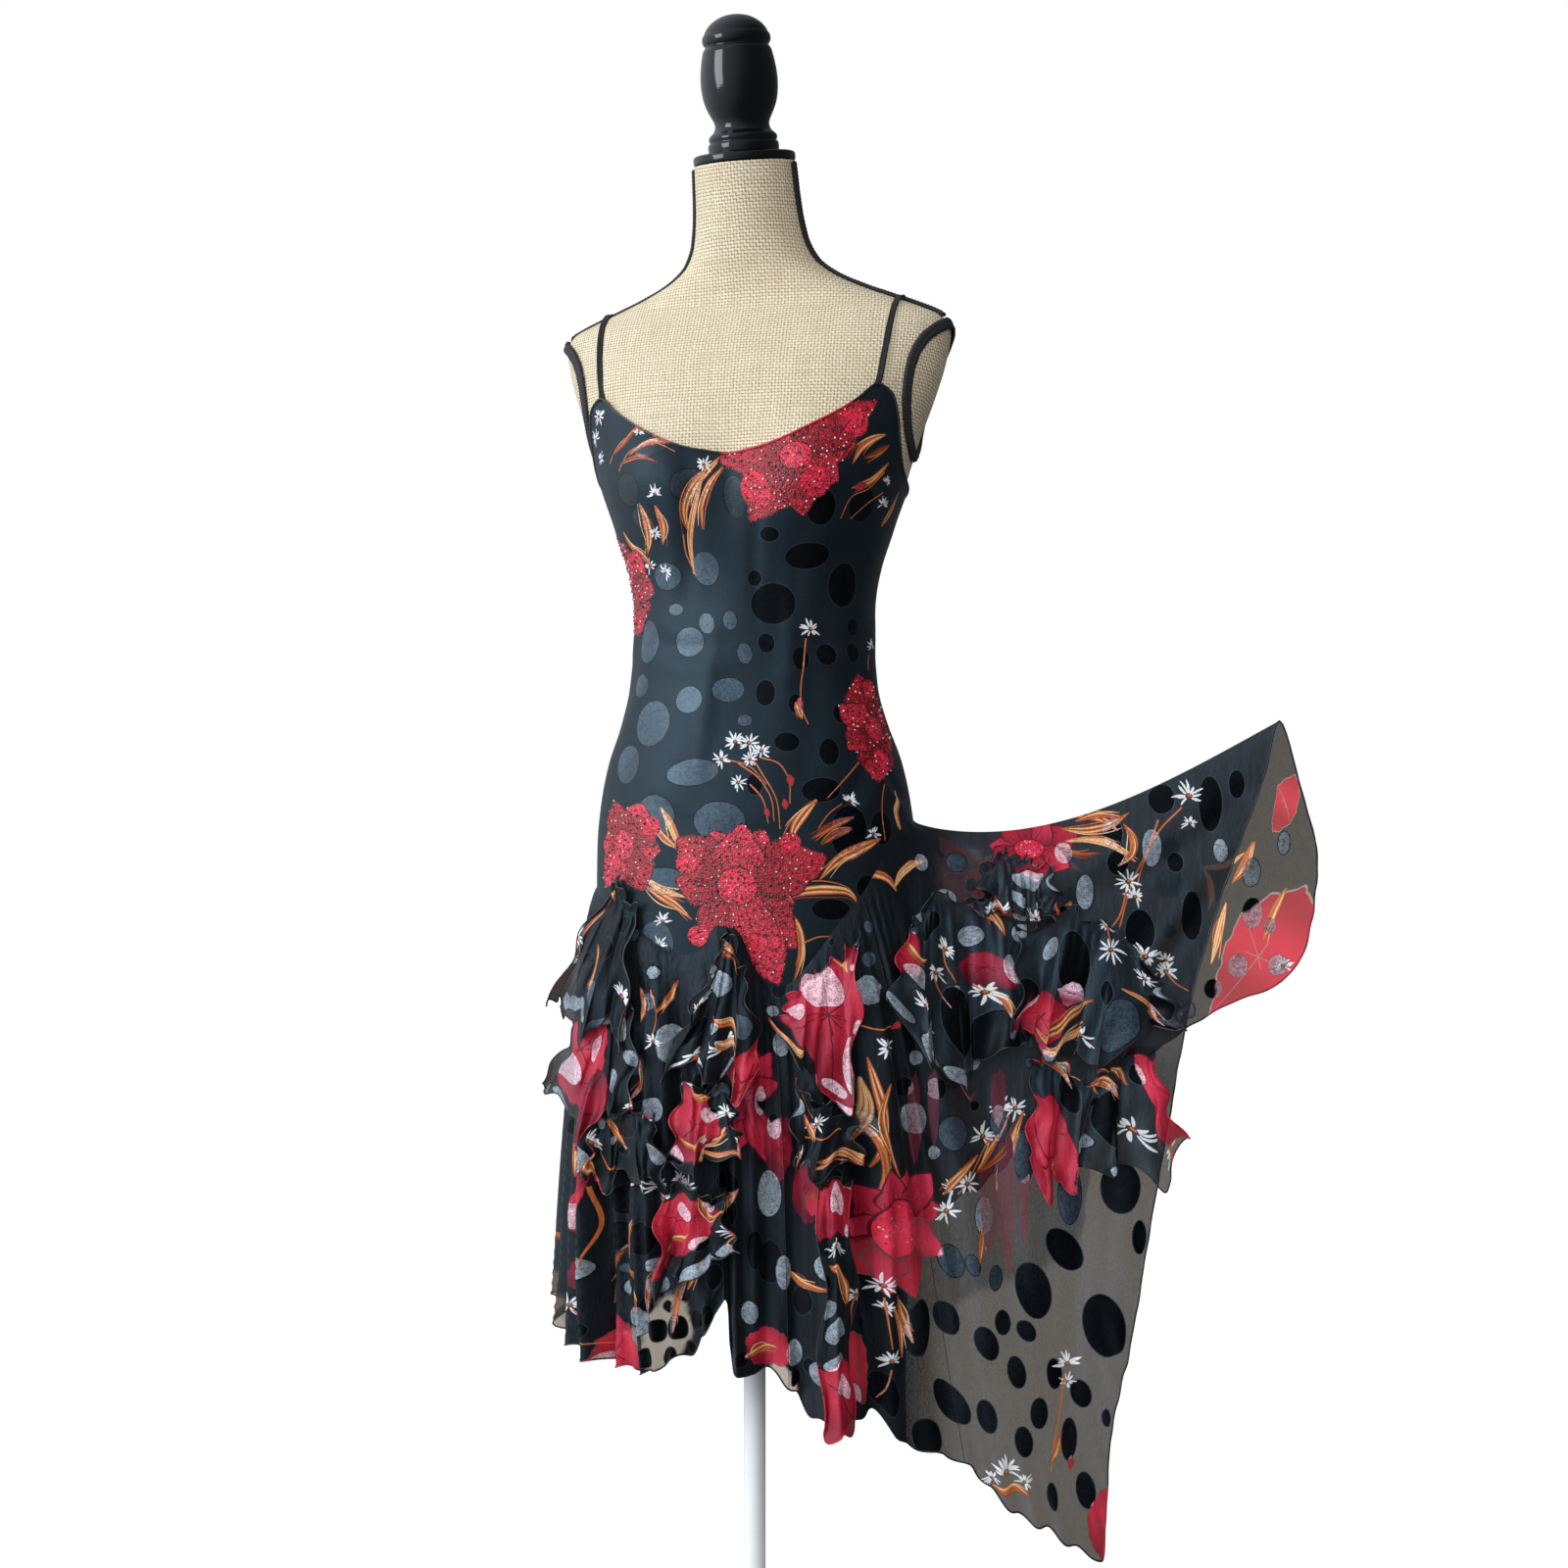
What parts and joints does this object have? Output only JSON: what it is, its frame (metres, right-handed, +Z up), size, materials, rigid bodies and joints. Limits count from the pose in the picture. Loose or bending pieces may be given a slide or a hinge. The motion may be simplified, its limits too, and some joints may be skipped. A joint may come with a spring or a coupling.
{
  "type": "slip dress on a dress form",
  "caption": "Slip dress with thin straps, pointed hip seams, ruffles and an uneven hem, one hem point drawn out to the side, worn on a burlap dress form with a round-based stand.",
  "frame": {"origin": "middle of the stand base's underside, on the floor", "axes": "+Z up, the dress's front faces -Y, +X towards the drawn-out hem point"},
  "size_m": [0.7507, 0.3219, 1.6279],
  "materials": {
    "form_burlap": "natural burlap, visible weave",
    "form_braid": "black woven braid",
    "finial_gloss_black": "gloss black",
    "stand_white": "satin white",
    "dress_cloth": "sheer cloth with opaque satin dots, printed flowers",
    "ruffle_cloth": "sheer cloth with opaque satin dots, printed flowers",
    "strap_cloth": "black satin"
  },
  "bodies": {
    "root": {"braid_armhole_left": "form_braid", "braid_armhole_right": "form_braid", "braid_shoulder_left": "form_braid", "braid_shoulder_right": "form_braid", "dress_back": "dress_cloth", "dress_front": "dress_cloth", "form_finial": "finial_gloss_black", "form_neck_disc": "finial_gloss_black", "form_torso": "form_burlap", "godet_back": "dress_cloth", "godet_front": "dress_cloth", "ruffle_back_left": "ruffle_cloth", "ruffle_back_right": "ruffle_cloth", "ruffle_centre_end": "ruffle_cloth", "ruffle_centre_lower": "ruffle_cloth", "ruffle_centre_upper": "ruffle_cloth", "ruffle_front_lower": "ruffle_cloth", "ruffle_front_tail": "ruffle_cloth", "ruffle_front_upper": "ruffle_cloth", "ruffle_left_lower": "ruffle_cloth", "ruffle_left_third": "ruffle_cloth", "ruffle_left_upper": "ruffle_cloth", "ruffle_side_gather": "ruffle_cloth", "ruffle_side_lower": "ruffle_cloth", "ruffle_side_upper_left": "ruffle_cloth", "ruffle_side_upper_right": "ruffle_cloth", "skirt_back_left": "dress_cloth", "skirt_back_right": "dress_cloth", "skirt_front_left": "dress_cloth", "skirt_front_right": "dress_cloth", "skirt_side_back": "dress_cloth", "skirt_side_front": "dress_cloth", "stand_base": "stand_white", "stand_pole": "stand_white", "strap_left": "strap_cloth", "strap_right": "strap_cloth"}
  },
  "joints": []
}
